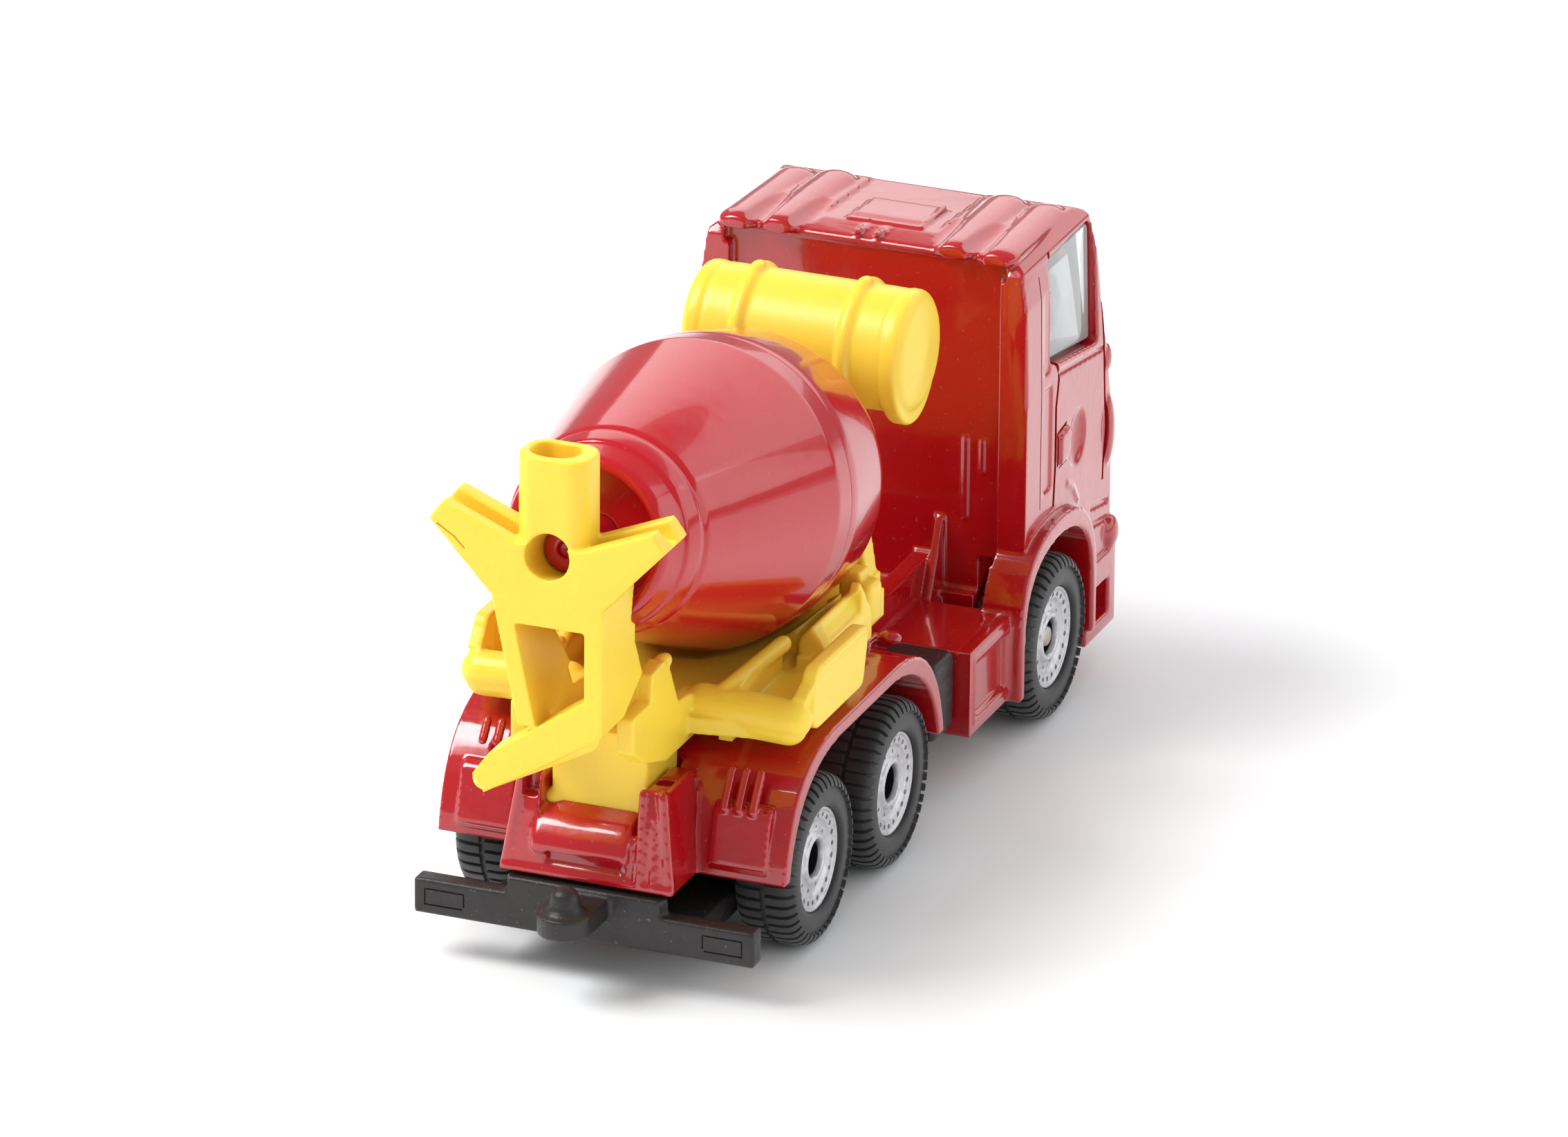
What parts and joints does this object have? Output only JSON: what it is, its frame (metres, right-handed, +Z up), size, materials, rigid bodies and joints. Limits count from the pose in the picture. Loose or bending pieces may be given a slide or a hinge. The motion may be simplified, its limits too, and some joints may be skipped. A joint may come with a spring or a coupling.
{
  "type": "toy cement mixer truck",
  "caption": "Small die-cast toy concrete mixer truck with a turning drum on a cradle, rear hopper and chute, water tank and free-rolling wheels.",
  "frame": {"origin": "on the ground under the middle of the truck's overall length and width", "axes": "+X towards the front of the cab, +Y to the truck's left, +Z up"},
  "size_m": [0.0794, 0.0278, 0.0424],
  "materials": {
    "red_paint": "gloss red paint over a die-casting, with orange peel",
    "red_plastic": "high gloss moulded red",
    "yellow_plastic": "semi-gloss moulded yellow",
    "black_plastic": "satin moulded black",
    "tyre_rubber": "matt black with a moulded tread",
    "silver_plastic": "mottled metallic silver",
    "steel": "cut and peened wire",
    "clear_plastic": "clear moulded plastic"
  },
  "bodies": {
    "truck": {"body_casting": "red_paint", "base_plate": "black_plastic", "cab_glazing": "clear_plastic", "cab_interior": "black_plastic", "drum_cradle": "yellow_plastic", "rear_tower": "yellow_plastic", "water_tank": "yellow_plastic"},
    "rear_wheelset": {"rear_axle": "steel", "rear_left_rim": "silver_plastic", "rear_left_tyre": "tyre_rubber", "rear_right_rim": "silver_plastic", "rear_right_tyre": "tyre_rubber"},
    "middle_wheelset": {"middle_axle": "steel", "middle_left_rim": "silver_plastic", "middle_left_tyre": "tyre_rubber", "middle_right_rim": "silver_plastic", "middle_right_tyre": "tyre_rubber"},
    "front_wheelset": {"front_axle": "steel", "front_left_rim": "silver_plastic", "front_left_tyre": "tyre_rubber", "front_right_rim": "silver_plastic", "front_right_tyre": "tyre_rubber"},
    "drum": {"drum_rear_shell": "red_plastic", "drum_front_shell": "red_plastic"}
  },
  "joints": [
    {"name": "rear_axle_spin", "type": "hinge", "parent": "truck", "child": "rear_wheelset", "pos_m": [-0.01956, 0, 0.0064], "axis": [0, 1, 0], "continuous": true},
    {"name": "middle_axle_spin", "type": "hinge", "parent": "truck", "child": "middle_wheelset", "pos_m": [-0.00461, 0, 0.0064], "axis": [0, 1, 0], "continuous": true},
    {"name": "front_axle_spin", "type": "hinge", "parent": "truck", "child": "front_wheelset", "pos_m": [0.02584, 0, 0.0064], "axis": [0, 1, 0], "continuous": true},
    {"name": "drum_spin", "type": "hinge", "parent": "truck", "child": "drum", "pos_m": [-0.01056, 0, 0.0296], "axis": [-0.9816, 0, 0.1908], "continuous": true}
  ]
}
